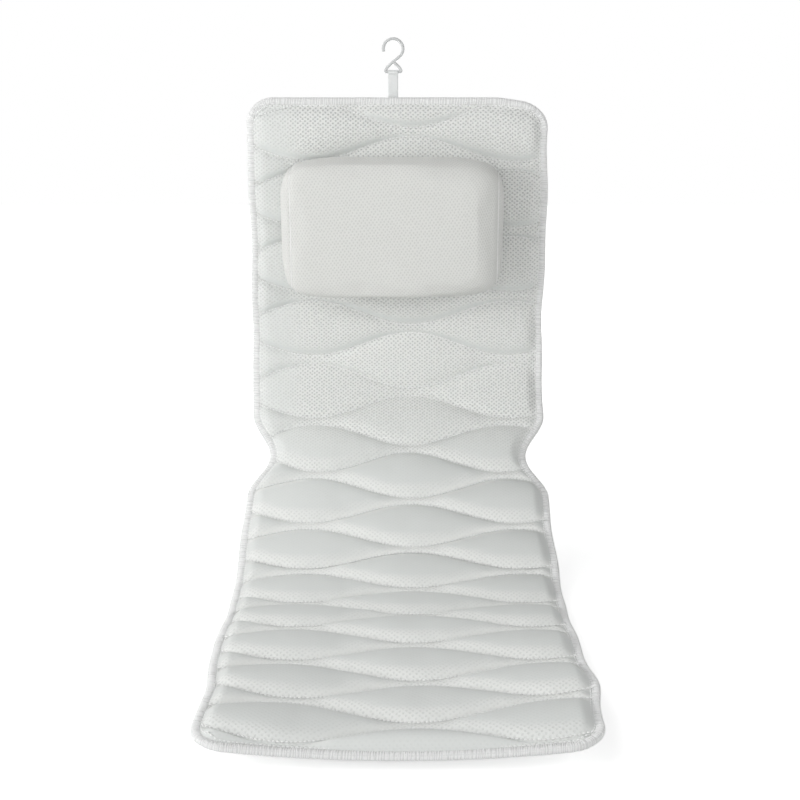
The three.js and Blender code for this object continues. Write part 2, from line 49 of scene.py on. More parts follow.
# How its hand-cut outline strays: for each wave of a side, its size, its length per radian and its start
LEFT_STRAY = ((0.0012, 0.049, 0.7), (0.0008, 0.021, 2.0))
RIGHT_STRAY = ((0.0012, 0.043, 4.1), (0.0008, 0.018, 1.0))
STRAY_POWER = 6
CORNER_DROP = 0.007
CORNER_DROP_ACROSS = (0.125, 0.190)
CORNER_DROP_ALONG = (0, 0.12)
LEGS_ASIDE = 0.0065
LEGS_ASIDE_AT = 1.052
LEGS_ASIDE_LENGTH = 0.045

# The tub's side profile: runs of mat and the tilt in degrees that each one turns to
BACK_TILT = 92
PROFILE = (
    (0.345, BACK_TILT), (0.090, 47), (0.070, 36), (0.070, 31), (0.070, 23),
    (0.070, 13), (0.065, 0), (0.070, -8), (0.070, 1.5),
)
SEAT_CUPS_AT = 0.780
CUP_DROP = 0.011
LEG_CURL = 0.014
CURL_START = 0.900
CURL_LENGTH = 0.200

# The quilting
SEWN_LEVEL = 0.0092
LINE_PITCH = 0.0446
FIRST_LINE = 0.0224
WAVE_LENGTH = 0.272
WAVE_RISE = 0.0165
WAVE_CENTRE = 0.018
TOP_LINE = -1
SPLIT_LINE = 15
LAST_LINE = 27
BACK_TO_SEAT = (0.36, 0.56)
BACK_RISE = 0.0085
SEAT_RISE = 0.0115
FULL_WIDTH = LINE_PITCH + 2 * WAVE_RISE
NARROW_BAND = 0.03
BACK_FULLNESS = 0.72
SEAT_FULLNESS = 0.66
BACK_DIMPLE = 0.0022
EDGE_FLAT = 0.008
EDGE_FADE = 0.012
EDGE_SQUEEZE = 0.0022
EDGE_INSET = 0.0024
COLUMNS = 72
BAND_ROWS = 12
SEAM_FLAT = 0.0015
SEAM_HELD = SEAM_FLAT * 1.05
SWELL_REACH = 0.0018
SWELL_SLACK = 0.004
SWELL_STEPS = 20
SWELL_EVENING = 6

# The knit, pulled open over the front of the back's rolls and along the lower edge of the other rolls, and
# tinted lighter where a roll faces the lamps and darker where it faces away: painted light and painted
# shade.
# A pair is where a change starts and ends, of s, of a distance or of how far a surface turns.
# The knit's colour shares where a roll faces away from the lamps: painted shade
KNIT_PAINTED_SHADE = (0.853, 0.87, 0.873)
KNIT_CHANGE = (0.40, 0.58)
ROLL_FRONT = (0, -math.cos(math.radians(45)), math.sin(math.radians(45)))
# How far a roll turns to the lamps before its knit opens and its tint takes painted light
LIT_AND_PULLED_FACING = (0.18, 0.56)
FRONT_STRIP = 0.0105
# How far a surface turns to the left lamp, for a front strip to keep its painted light
STRIP_TURN = (-0.42, 0.12)
STRIP_SLACK = 0.6
# On the back's left margin, where the left lamp falls strongly, the holes close as under glare and the tint
# is darkened to hold the tone: painted glare and painted shade
LEFT_MARGIN = (0.12, 0.16)
MARGIN_GLARE = 0.45
MARGIN_SHADE = 0.5
FOOT_CHANGE = (1.10, 1.14)
FOOT_SHADE = 0.3
# The share of painted light that the tops of the lower rolls keep
TOPS_PAINTED_LIGHT = 0.28
# Beside the sewn lines that rise to the right, where shade lies in the channel, the tint is lightened:
# painted light
BESIDE_LINE = (0.003, 0.014)
RISING_TURN = (-0.02, 0.12)
FAINT_KNIT = 0.10

# Finishes: where the rim of a knit hole starts and ends, in cells, and the shades of ribs and flow marks
HOLE_RIM = (0.39, 0.12)
RIB_SHADE = (0.93, 0.93, 0.93)
FLOW_SHADE = (0.95, 0.95, 0.95)

# The head pillow and what is under it
PILLOW_SIZE = (0.292, 0.178, 0.080)
PILLOW_AT = (-0.008, -0.165, 0.0181)
PILLOW_SQUARENESS = 7
PILLOW_SKEW = 0.003
PILLOW_LIFT = 0.0015
PILLOW_FLARE = 0.034
PILLOW_SWELL = 0.002
PILLOW_SWELL_ROOM = 0.003
PILLOW_HELD = 0.004
PILLOW_GRAIN = 0.004
SOFT_END_TURN = (0.30, 1.0)
FORM_SPREAD = (1.4, 0.8)
END_SEAMS = (-0.139, 0.131)
END_SEAM_DEPTH = 0.0011
END_SEAM_WIDTH = 0.003
END_SEAM_FOOT = 0.006
END_SEAM_RADIUS = 0.0006
END_SEAM_MIDDLE = 0.4
PIPING_SHARE = 0.968
PIPING_LEVEL = 0.006
PIPING_RADIUS = 0.0013
PIPING_STEPS = 180
PRESSED_RISE = 0.004
PILLOW_BED = 0.0082
BED_FADE = (0.002, 0.014)
BED_HELD = 0.006
STRIP_SIZE = (0.025, 0.120, 0.002)
STRIP_SPREAD = 0.075
STRIP_GAP = 0.0003
STRIP_MARGIN = 0.003

# The bound edge
BINDING_WIDTH = 0.009
BINDING_TOP = 0.0085
EDGE_STEP = 0.004
CORNER_STEPS = 16
RIPPLE_SCALE = 45
RIPPLE_LAYER = 3.0
RIPPLE_WIDTH = 0.06
RIPPLE_HEIGHT = 0.0003
TOP_WRAP_PITCH = 0.0034
# The foot's overlock threads lie closer: partly to soften its ribs, partly painted light, as the denser
# white threads lighten the foot edge that faces down from the lamps
FOOT_WRAP_PITCH = 0.0016
SIDE_WRAP_PITCH = 0.0015
END_TURN = (0.2, 0.6)
WRAP_RADIUS = 0.00065
WRAP_SLANT = 0.0018
WRAP_STRAY = 0.25
WRAP_TURN = 0.14
WRAP_LIFT = 0.0002
THREAD_SEED = 7
STITCH_LENGTH = 0.0041
STITCH_PITCH = 0.0043
STITCH_RADIUS = 0.0009
STITCH_RISE = 0.0013
NEEDLE_INSET = 0.0012
NEEDLE_TURN = 0.06
LINE_STEPS = 400

# The strap, its hook and the cups
STRAP_AT = -0.006
STRAP_WIDTH = 0.013
STRAP_PLY = 0.0012
STRAP_WEAVE = STRAP_PLY * 0.9
STRAP_LENGTH = 0.032
STRAP_TAIL = 0.016
STRAP_LEVEL = -0.0032
STRAP_STEPS = 14
TAIL_LIFT = 0.0019
TAIL_LIFT_ALONG = (0.001, 0.009)
LOOP_PLAY = 0.0004
LOOP_NECK = 0.002
LOOP_WRAP = 1.1
LOOP_STEPS = 22
HOOK_ROD = 0.002
CROOK_RADIUS = 0.013
CROOK_HEIGHT = 0.030
CROOK_DEGREES = range(195, -66, -15)
EYE_WIDTH = 0.025
EYE_HEIGHT = 0.014
EYE_REACH = EYE_WIDTH / 2 - HOOK_ROD
CUP_SPREAD = 0.110
CUPS_AT = {"back": (0.070, 0.300), "seat": (SEAT_CUPS_AT,), "legs": (0.985, 1.105)}

# The studio: each softbox has its place, size and power
SKY_GREY = (0.11, 0.11, 0.11, 1)
FLOOR_GREY = (0.85, 0.85, 0.85, 1)
FLOOR_REACH = 4
FLOOR_FADE = (0.5, 1.5)
FLOOR_GLOW = (0.60, 1.0)
LIT_POINT = (0, 0, 0.25)
SOFTBOXES = {
    "left_softbox": ((-2.33, -1.345, 0.90), 1.6, 46),
    "right_softbox": ((2.238, -1.292, 1.20), 1.6, 25.5),
    "upper_softbox": ((-1.49, -1.49, 2.018), 1.6, 9),
    "front_softbox": ((0, -2.6, 0.95), 1.6, 10),
    "rear_softbox": ((-1.354, 1.136, 2.357), 1.6, 22),
    "back_softbox": ((0, 2.0, 0.45), 0.6, 12),
}
CAMERA_AT = (0.003, -1.614, 0.688)
CAMERA_TILT = 14.66
CAMERA_LENS = 64.85
CAMERA_SENSOR = 36

# Distances and bends that count as none
TOUCHING = 1e-6
ON_LINE = 1e-7
UNBENT = 1e-9

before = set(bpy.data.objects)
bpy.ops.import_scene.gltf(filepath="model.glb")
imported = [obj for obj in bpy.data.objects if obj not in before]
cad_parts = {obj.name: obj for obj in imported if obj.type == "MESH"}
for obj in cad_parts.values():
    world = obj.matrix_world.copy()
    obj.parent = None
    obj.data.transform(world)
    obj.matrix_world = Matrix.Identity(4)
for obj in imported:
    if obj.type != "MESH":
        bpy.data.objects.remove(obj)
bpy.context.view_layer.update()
chance = random.Random(THREAD_SEED)


# The mat's layout

def smooth(low, high, value):
    """0 below low, 1 above high, and an even change between them."""
    t = np.clip((value - low) / (high - low), 0, 1)
    return t * t * (3 - 2 * t)


def along_run(y, z, tilt, bend, distance):
    """Where an evenly bending stretch of the profile ends: Y, Z and tilt."""
    end = tilt + bend * distance
    straight = np.abs(bend) < UNBENT
    curve = np.where(straight, 1.0, bend)
    y_end = np.where(straight, y - distance * np.cos(tilt), y - (np.sin(end) - np.sin(tilt)) / curve)
    z_end = np.where(straight, z - distance * np.sin(tilt), z + (np.cos(end) - np.cos(tilt)) / curve)
    return y_end, z_end, end


def profile_runs():
    """Where each run of the profile starts, and how it bends."""
    runs = []
    s, y, z, tilt = 0.0, 0.0, 0.0, math.radians(BACK_TILT)
    for length, degrees in PROFILE:
        bend = (math.radians(degrees) - tilt) / length
        runs.append((s, y, z, tilt, bend))
        y, z, tilt = along_run(y, z, tilt, bend, length)
        s += length
    runs.append((s, y, z, tilt, 0.0))
    return np.array(runs)


RUNS = profile_runs()


def profile(s):
    which = np.clip(np.searchsorted(RUNS[:, 0], s, side="right") - 1, 0, len(RUNS) - 1)
    start, y, z, tilt, bend = RUNS[which].T
    return along_run(y, z, tilt, bend, s - start)


LEVEL_Y, LEVEL_Z, _ = profile(np.array([SEAT_CUPS_AT]))


def stray(waves, s):
    return sum(size * np.sin(s / length + start) for size, length, start in waves)


def strayed(u, s):
    """The edges stray a millimetre or so, the top right corner drops and the legs lie a little aside."""
    outwards = np.where(u < 0, -stray(LEFT_STRAY, s), stray(RIGHT_STRAY, s))
    outwards = outwards * (np.abs(u) / SIDE) ** STRAY_POWER
    dropped = CORNER_DROP * smooth(*CORNER_DROP_ACROSS, u) * (1 - smooth(*CORNER_DROP_ALONG, s))
    aside = LEGS_ASIDE * np.exp(-((s - LEGS_ASIDE_AT) / LEGS_ASIDE_LENGTH) ** 2)
    return u + outwards + aside, s + dropped


def bent(flat):
    """Points of the flat mat, moved to where they lie in the tub."""
    u, s = strayed(flat[:, 0], -flat[:, 1])
    h = flat[:, 2]
    y, z, tilt = profile(s)
    curl = LEG_CURL * smooth(CURL_START, CURL_START + CURL_LENGTH, s) * (u / SIDE) ** 2
    out = h - SEWN_LEVEL + curl
    return np.column_stack((
        u,
        y - LEVEL_Y - out * np.sin(tilt),
        z - LEVEL_Z + CUP_DROP + SEWN_LEVEL + out * np.cos(tilt),
    ))


def half_width(s, inset):
    """The mat's half width, less an inset all round."""
    x = np.clip((s - WAIST_AT) / (WAIST_LENGTH / 2), -1, 1)
    waist = WAIST_DEPTH * np.cos(x * math.pi / 2) ** 2
    radius = CORNER_RADIUS - inset
    from_end = np.clip(np.minimum(s, MAT_LENGTH - s) - inset, 0, radius)
    corner = radius - np.sqrt(radius ** 2 - (radius - from_end) ** 2)
    return SIDE - inset - waist - corner


def drawn_in(across, s):
    """Places of a mat with straight sides, moved in to the waist and the corners."""
    return across / SIDE * half_width(s, EDGE_INSET)


def let_out(u, s):
    """The reverse of drawn_in."""
    return u / half_width(s, EDGE_INSET) * SIDE


def sewn_line(j, u):
    wave = WAVE_RISE * np.cos(2 * math.pi * (u - WAVE_CENTRE) / WAVE_LENGTH)
    return FIRST_LINE + j * LINE_PITCH + np.where(np.mod(j, 2) == 0, wave, -wave)


def band_share(u, s):
    """How wide the quilted band is at each place, and how far across it the place lies."""
    j = np.floor((s - FIRST_LINE) / LINE_PITCH) - 1
    for _ in range(3):
        j = np.where(sewn_line(j + 1, u) <= s + ON_LINE, j + 1, j)
    low, high = sewn_line(j, u), sewn_line(j + 1, u)
    return high - low, np.clip((s - low) / (high - low), 0, 1)


def pillow_distance(u, s):
    """How far a place lies outside the pillow's outline, negative under it."""
    x = np.abs(u - PILLOW_AT[0]) / (PILLOW_SIZE[0] / 2)
    y = np.abs(s + PILLOW_AT[1]) / (PILLOW_SIZE[1] / 2)
    reach = (x ** PILLOW_SQUARENESS + y ** PILLOW_SQUARENESS) ** (1 / PILLOW_SQUARENESS)
    return (reach - 1) * PILLOW_SIZE[1] / 2


def edge_distance(u, s):
    return np.minimum(half_width(s, 0) - np.abs(u), np.minimum(s, MAT_LENGTH - s))


def edge_squeeze(u, s):
    """How far the binding squeezes the mat's edge from either face."""
    return EDGE_SQUEEZE * (1 - smooth(EDGE_FLAT, EDGE_FLAT + EDGE_FADE, edge_distance(u, s)))


def on_strip(u, s):
    beside = np.abs(np.abs(u - PILLOW_AT[0]) - STRIP_SPREAD) < STRIP_SIZE[0] / 2 + STRIP_MARGIN
    return beside & (np.abs(s + PILLOW_AT[1]) < STRIP_SIZE[1] / 2 + STRIP_MARGIN)


def quilt_height(u, s, across):
    """The height of the mat's face: rolls between the sewn lines, pressed down under the pillow."""
    width, share = band_share(across, s)
    share = np.clip((share * width - SEAM_FLAT) / (width - 2 * SEAM_FLAT), 0, 1)
    lower = smooth(*BACK_TO_SEAT, s)
    crown = (1 - (2 * share - 1) ** 2) ** (BACK_FULLNESS + (SEAT_FULLNESS - BACK_FULLNESS) * lower)
    fade = smooth(EDGE_FLAT, EDGE_FLAT + EDGE_FADE, edge_distance(u, s))
    most = BACK_RISE + (SEAT_RISE - BACK_RISE) * lower
    rise = most * np.sqrt(width / FULL_WIDTH) * np.minimum(1, width / NARROW_BAND) * crown * fade
    free = smooth(*BED_FADE, pillow_distance(u, s))
    bed = np.minimum(rise, np.where(on_strip(u, s), PRESSED_RISE, PILLOW_BED))
    return SEWN_LEVEL - edge_squeeze(u, s) + bed * (1 - free) + rise * free


def face_level(u, s):
    """The height of the mat's face at one place."""
    u, s = np.array([u]), np.array([s])
    return float(quilt_height(u, s, let_out(u, s))[0])


# Making pieces

def points_of(mesh):
    points = np.empty(len(mesh.vertices) * 3)
    mesh.vertices.foreach_get("co", points)
    return points.reshape(-1, 3)


def normals_of(mesh):
    return np.array([v.normal for v in mesh.vertices])


def set_points(mesh, points):
    mesh.vertices.foreach_set("co", np.ascontiguousarray(points, dtype=np.float32).ravel())
    mesh.update()


def evaluated(piece):
    return piece.evaluated_get(bpy.context.evaluated_depsgraph_get())


def made(name, bm, material):
    mesh = bpy.data.meshes.new(name)
    bm.to_mesh(mesh)
    bm.free()
    piece = bpy.data.objects.new(name, mesh)
    bpy.context.scene.collection.objects.link(piece)
    mesh.materials.append(material)
    mesh.shade_smooth()
    return piece


def cloth_uv(piece, places):
    """A UV map in metres along the cloth, for a knit that follows the surface."""
    mesh = piece.data
    layer = mesh.uv_layers.new(name="cloth")
    corners = np.empty(len(mesh.loops), dtype=np.int32)
    mesh.loops.foreach_get("vertex_index", corners)
    layer.data.foreach_set("uv", places[corners].astype(np.float32).ravel())


def laid(piece):
    """The piece, bent from the flat mat to the tub."""
    set_points(piece.data, bent(points_of(piece.data)))
    return piece


def subdivided(piece):
    finer = piece.modifiers.new("finer", "SUBSURF")
    finer.levels = finer.render_levels = 1


def with_modifier(piece, kind, **settings):
    """The piece's mesh as one modifier leaves it."""
    modifier = piece.modifiers.new("step", kind)
    for name, value in settings.items():
        setattr(modifier, name, value)
    piece.data = bpy.data.meshes.new_from_object(evaluated(piece))
    piece.modifiers.remove(modifier)
    piece.data.shade_smooth()


def rod_mesh(name, paths, radius, roundness, closed=False, kind="POLY"):
    """Round rods along the points of each path."""
    curve = bpy.data.curves.new(name, "CURVE")
    curve.dimensions = "3D"
    curve.bevel_depth = radius
    curve.bevel_resolution = roundness
    curve.use_fill_caps = not closed
    for path in paths:
        spline = curve.splines.new(kind)
        spline.points.add(len(path) - 1)
        for point, place in zip(spline.points, path):
            point.co = (*place, 1)
        spline.use_cyclic_u = closed
        if kind == "NURBS":
            spline.use_endpoint_u = True
            spline.order_u = 3
            spline.resolution_u = 6
    drawn = bpy.data.objects.new(name, curve)
    bpy.context.scene.collection.objects.link(drawn)
    mesh = bpy.data.meshes.new_from_object(evaluated(drawn))
    bpy.data.objects.remove(drawn)
    bpy.data.curves.remove(curve)
    return mesh


def from_rods(name, mesh, material):
    bm = bmesh.new()
    bm.from_mesh(mesh)
    bmesh.ops.remove_doubles(bm, verts=bm.verts, dist=TOUCHING)
    bmesh.ops.recalc_face_normals(bm, faces=bm.faces)
    return made(name, bm, material)


# The mat's pieces, with their placing baked into their meshes


def rides_upper(piece):
    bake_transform(piece)


def rides_lower(piece):
    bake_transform(piece)


def layers(*lengths):
    """The frame's names for the layers of some lengths of the mat."""
    return [f"{length}_{layer}" for length in lengths for layer in ("face", "core", "backing")]


# Materials

def shader(name, roughness):
    material = bpy.data.materials.new(name)
    material.use_nodes = True
    tree = material.node_tree
    surface = tree.nodes["Principled BSDF"]
    surface.inputs["Roughness"].default_value = roughness
    return material, tree, surface


def added(tree, kind, **settings):
    fresh = tree.nodes.new(kind)
    for name, value in settings.items():
        setattr(fresh, name, value)
    return fresh


def rgba(colour, shares=(1, 1, 1)):
    """A colour as a socket takes it, each channel at its share."""
    return (*(channel * share for channel, share in zip(colour, shares)), 1)


def knit_holes(tree, place, pitch, rows):
    """1 in the holes of the knit, 0 on its threads: staggered, wider apart across than along."""
    lattice = added(tree, "ShaderNodeMapping")
    lattice.inputs["Scale"].default_value = (math.sqrt(2) / pitch, math.sqrt(2) / (2 * rows), 1)
    lattice.inputs["Rotation"].default_value = (0, 0, math.radians(45))
    cells = added(tree, "ShaderNodeTexVoronoi", voronoi_dimensions="2D", feature="F1")
    cells.inputs["Scale"].default_value = 1
    cells.inputs["Randomness"].default_value = 0.2
    rim = added(tree, "ShaderNodeMapRange", interpolation_type="SMOOTHSTEP")
    rim.inputs["From Min"].default_value, rim.inputs["From Max"].default_value = HOLE_RIM
    link = tree.links.new
    link(place, lattice.inputs["Vector"])
    link(lattice.outputs["Vector"], cells.inputs["Vector"])
    link(cells.outputs["Distance"], rim.inputs["Value"])
    return rim.outputs["Result"]


def holed_mesh(name, thread, hole, pitch, rows, depth, opens, slant=0):
    """Knitted mesh with holes, soft all over; where it opens, open_knit says how far, and a second
    attribute how far its tint goes from painted shade to painted light.
    """
    material, tree, surface = shader(name, 0.9)
    surface.inputs["Sheen Weight"].default_value = 0.1
    surface.inputs["Specular IOR Level"].default_value = 0.2
    link = tree.links.new
    turned = added(tree, "ShaderNodeMapping")
    turned.inputs["Rotation"].default_value = (0, 0, math.radians(slant))
    link(added(tree, "ShaderNodeUVMap", uv_map="cloth").outputs["UV"], turned.inputs["Vector"])
    place = turned.outputs["Vector"]
    seen = added(tree, "ShaderNodeMath", operation="MULTIPLY")
    seen.inputs[1].default_value = 1
    link(knit_holes(tree, place, pitch, rows), seen.inputs[0])
    # The tint runs from painted shade at 0 to the full colour, painted light, at 1
    tint = added(tree, "ShaderNodeMix", data_type="RGBA")
    tint.inputs["A"].default_value = rgba(thread, KNIT_PAINTED_SHADE)
    tint.inputs["B"].default_value = rgba(thread)
    tint.inputs["Factor"].default_value = 1
    if opens:
        opened = added(tree, "ShaderNodeAttribute", attribute_name="open_knit")
        lit_and_pulled = added(tree, "ShaderNodeAttribute", attribute_name="knit_painted_light")
        link(opened.outputs["Fac"], seen.inputs[1])
        link(lit_and_pulled.outputs["Fac"], tint.inputs["Factor"])
    colour = added(tree, "ShaderNodeMix", data_type="RGBA")
    colour.inputs["B"].default_value = rgba(hole)
    link(seen.outputs["Value"], colour.inputs["Factor"])
    link(tint.outputs["Result"], colour.inputs["A"])
    link(colour.outputs["Result"], surface.inputs["Base Color"])
    patches = added(tree, "ShaderNodeTexNoise")
    patches.inputs["Scale"].default_value = 28
    patches.inputs["Detail"].default_value = 4
    link(place, patches.inputs["Vector"])
    soft = added(tree, "ShaderNodeBump")
    soft.inputs["Strength"].default_value = 0.25
    soft.inputs["Distance"].default_value = 0.003
    link(patches.outputs["Fac"], soft.inputs["Height"])
    knit = added(tree, "ShaderNodeBump", invert=True)
    knit.inputs["Strength"].default_value = 0.9
    knit.inputs["Distance"].default_value = depth
    link(seen.outputs["Value"], knit.inputs["Height"])
    link(soft.outputs["Normal"], knit.inputs["Normal"])
    link(knit.outputs["Normal"], surface.inputs["Normal"])
    return material


def tinted_relief(tree, surface, pattern, colour, shades, strength, depth):
    """Lets a pattern shade a surface's colour and raise it a little."""
    link = tree.links.new
    tint = added(tree, "ShaderNodeMix", data_type="RGBA")
    tint.inputs["A"].default_value = rgba(colour, shades)
    tint.inputs["B"].default_value = rgba(colour)
    link(pattern, tint.inputs["Factor"])
    link(tint.outputs["Result"], surface.inputs["Base Color"])
    bump = added(tree, "ShaderNodeBump")
    bump.inputs["Strength"].default_value = strength
    bump.inputs["Distance"].default_value = depth
    link(pattern, bump.inputs["Height"])
    link(bump.outputs["Normal"], surface.inputs["Normal"])


def thread_cloth(name, colour, pitch, depth, roughness=0.8):
    """Plain threads: fine slanting ribs with a little unevenness."""
    material, tree, surface = shader(name, roughness)
    surface.inputs["Sheen Weight"].default_value = 0.2
    surface.inputs["Specular IOR Level"].default_value = 0.25
    place = added(tree, "ShaderNodeTexCoord").outputs["Object"]
    ribs = added(tree, "ShaderNodeTexWave", wave_type="BANDS", bands_direction="DIAGONAL")
    ribs.inputs["Scale"].default_value = 1 / pitch
    ribs.inputs["Distortion"].default_value = 1.5
    ribs.inputs["Detail"].default_value = 2
    tree.links.new(place, ribs.inputs["Vector"])
    tinted_relief(tree, surface, ribs.outputs["Fac"], colour, RIB_SHADE, strength=0.4, depth=depth)
    return material


def moulded(name, colour, roughness, clear=0.0):
    """Moulded plastic or vinyl with faint flow marks."""
    material, tree, surface = shader(name, roughness)
    surface.inputs["Transmission Weight"].default_value = clear
    surface.inputs["Coat Weight"].default_value = 0.2
    place = added(tree, "ShaderNodeTexCoord").outputs["Object"]
    flow = added(tree, "ShaderNodeTexNoise")
    flow.inputs["Scale"].default_value = 160
    flow.inputs["Detail"].default_value = 2
    tree.links.new(place, flow.inputs["Vector"])
    tinted_relief(tree, surface, flow.outputs["Fac"], colour, FLOW_SHADE, strength=0.12, depth=0.0002)
    return material


MAT_MESH = holed_mesh(
    "mat_mesh", thread=(0.83, 0.84, 0.82), hole=(0.60, 0.61, 0.60),
    pitch=0.0066, rows=0.0027, depth=0.0010, opens=True)
PILLOW_MESH = holed_mesh(
    "pillow_mesh", thread=(0.733, 0.738, 0.714), hole=(0.630, 0.635, 0.615),
    pitch=0.0050, rows=0.0035, depth=0.0002, opens=False, slant=-4.8)
EDGE_TAPE = thread_cloth("edge_tape", (0.80, 0.805, 0.80), pitch=0.0012, depth=0.0002)
PIPING_TAPE = thread_cloth("piping_tape", (0.82, 0.825, 0.82), pitch=0.0012, depth=0.0002)
SEWING_THREAD = thread_cloth(
    "sewing_thread", (0.95, 0.955, 0.95), pitch=0.0006, depth=0.0001, roughness=0.6)
WEBBING = thread_cloth("webbing", (0.84, 0.855, 0.85), pitch=0.0012, depth=0.0003)
FASTENER = thread_cloth("hook_and_loop", (0.72, 0.72, 0.71), pitch=0.0007, depth=0.0006, roughness=1.0)
HOOK_PLASTIC = moulded("hook_plastic", (0.60, 0.61, 0.61), roughness=0.45)
CUP_VINYL = moulded("cup_vinyl", (0.78, 0.83, 0.85), roughness=0.15, clear=0.6)


# The quilted mat

def quilt_sheet(first_line, last_line):
    """The mat's face, flat: its rows follow the sewn lines, closer together beside them."""
    bm = bmesh.new()
    rows = (last_line - first_line) * BAND_ROWS
    bmesh.ops.create_grid(bm, x_segments=COLUMNS, y_segments=rows, size=1)
    for vert in bm.verts:
        band, step = divmod(round((1 - vert.co.y) / 2 * rows), BAND_ROWS)
        across = vert.co.x * SIDE
        low = float(sewn_line(first_line + band, across))
        high = float(sewn_line(first_line + band + 1, across))
        if step:
            even = (step - 1) / (BAND_ROWS - 2)
            eased = (even + (1 - math.cos(math.pi * even)) / 2) / 2
            low += SEAM_FLAT + (high - low - 2 * SEAM_FLAT) * eased
        vert.co = (across, -low, 0)
    for end, outwards in ((-EDGE_INSET, 1), (EDGE_INSET - MAT_LENGTH, -1)):
        geometry = [*bm.verts, *bm.edges, *bm.faces]
        bmesh.ops.bisect_plane(
            bm, geom=geometry, plane_co=(0, end, 0), plane_no=(0, outwards, 0), clear_outer=True)
    return bm


def evened(mesh, rise):
    """The cloth's rise without its small wrinkles: each point takes a share of its neighbours'."""
    pairs = np.empty(len(mesh.edges) * 2, dtype=np.int32)
    mesh.edges.foreach_get("vertices", pairs)
    one, other = pairs.reshape(-1, 2).T
    near = np.bincount(pairs, minlength=len(rise))
    for _ in range(SWELL_EVENING):
        around = np.bincount(one, rise[other], len(rise)) + np.bincount(other, rise[one], len(rise))
        rise = (rise + around / near) / 2
    return rise


def swell(piece, held, reach, slack):
    """Blows the cloth up between the points that hold it, each point no further than reach."""
    before = points_of(piece.data)
    group = piece.vertex_groups.new(name="held")
    group.add([int(i) for i in np.flatnonzero(held)], 1.0, "REPLACE")
    cloth = piece.modifiers.new("swell", "CLOTH")
    cloth.collision_settings.use_collision = False
    settings = cloth.settings
    settings.quality = 5
    settings.mass = 0.1
    settings.tension_stiffness = settings.compression_stiffness = 15
    settings.bending_stiffness = 2
    settings.use_pressure = True
    settings.uniform_pressure_force = 4
    settings.shrink_min = -slack
    settings.vertex_group_mass = "held"
    settings.effector_weights.gravity = 0
    scene = bpy.context.scene
    for step in range(1, SWELL_STEPS + 1):
        scene.frame_set(step)
    normals = normals_of(piece.data)
    outwards = ((points_of(evaluated(piece).data) - before) * normals).sum(axis=1)
    piece.modifiers.remove(cloth)
    piece.vertex_groups.remove(group)
    scene.frame_set(1)
    rise = evened(piece.data, np.clip(outwards, -reach, reach))
    set_points(piece.data, before + normals * rise[:, None])


def open_knit(piece, u, s):
    """How far the knit is stretched open, and how far its tint goes from painted shade, where a roll faces
    away from the lamps, to painted light, where it faces them.
    """
    mesh = piece.data
    normals = normals_of(mesh)
    facing = normals @ np.array(ROLL_FRONT)
    lower = smooth(*KNIT_CHANGE, s)
    width, share = band_share(let_out(u, s), s)
    front = 1 - smooth(FRONT_STRIP, 2 * FRONT_STRIP, (1 - share) * width)
    # A front strip keeps its painted light only where the surface turns to the left lamp
    front *= smooth(*STRIP_TURN, -normals[:, 0])
    # Rolls facing the lamps, and the lower rolls' front strips: a more open knit, and painted light in the
    # tint
    lit_and_pulled = smooth(*LIT_AND_PULLED_FACING, facing) * (1 - lower) + front * lower
    # The left margin: holes closed as painted glare of the left lamp, the tint darkened by painted shade
    margin = smooth(*LEFT_MARGIN, -u) * (1 - lower)
    slack = STRIP_SLACK * lower + MARGIN_GLARE * margin
    shade = FOOT_SHADE * smooth(*FOOT_CHANGE, s) + MARGIN_SHADE * margin
    # Painted light in the shaded channels beside the sewn lines that rise to the right
    beside = 1 - smooth(*BESIDE_LINE, np.minimum(share, 1 - share) * width)
    rising = smooth(*RISING_TURN, normals[:, 0] * np.sign(share - 0.5))
    painted_light = np.maximum(lit_and_pulled, lower * (TOPS_PAINTED_LIGHT + (1 - TOPS_PAINTED_LIGHT) * beside * rising))
    opened = np.maximum(lit_and_pulled * (1 - slack), lower * FAINT_KNIT)
    # The tint's share of painted light, less the darker tint at the foot and on the left margin, and the
    # knit's openness
    for name, amount in (("knit_painted_light", painted_light * (1 - shade)), ("open_knit", opened)):
        mesh.attributes.new(name, "FLOAT", "POINT").data.foreach_set("value", amount.astype(np.float32))


def add_underside(piece):
    """Closes the face to a pad: its edge, and an underside drawn in at the sewn lines."""
    bm = bmesh.new()
    bm.from_mesh(piece.data)
    under = bmesh.ops.extrude_face_region(bm, geom=list(bm.faces), use_keep_orig=True)["geom"]
    verts = [g for g in under if isinstance(g, bmesh.types.BMVert)]
    places = np.array([v.co for v in verts])
    u, s = places[:, 0], -places[:, 1]
    _, share = band_share(u, s)
    dimple = np.maximum(BACK_DIMPLE * (2 * share - 1) ** 2, edge_squeeze(u, s))
    for vert, rise in zip(verts, dimple):
        vert.co.z = rise
    bmesh.ops.recalc_face_normals(bm, faces=bm.faces)
    bm.to_mesh(piece.data)
    bm.free()
    piece.data.shade_smooth()


def mat_length(name, first_line, last_line):
    """One length of the mat, as a closed pad: the swollen face, its edge and its underside."""
    piece = made(name, quilt_sheet(first_line, last_line), MAT_MESH)
    flat = points_of(piece.data)
    across, s = flat[:, 0], -flat[:, 1]
    u = drawn_in(across, s)
    set_points(piece.data, np.column_stack((u, -s, quilt_height(u, s, across))))
    cloth_uv(piece, points_of(piece.data)[:, :2])
    width, share = band_share(across, s)
    held = np.minimum(share, 1 - share) * width < SEAM_HELD
    held |= (edge_distance(u, s) < EDGE_FLAT) | (pillow_distance(u, s) < BED_HELD)
    swell(piece, held, SWELL_REACH, SWELL_SLACK)
    add_underside(piece)
    flat = points_of(piece.data)
    laid(piece)
    open_knit(piece, flat[:, 0], -flat[:, 1])
    subdivided(piece)
    return piece


# The bound edge

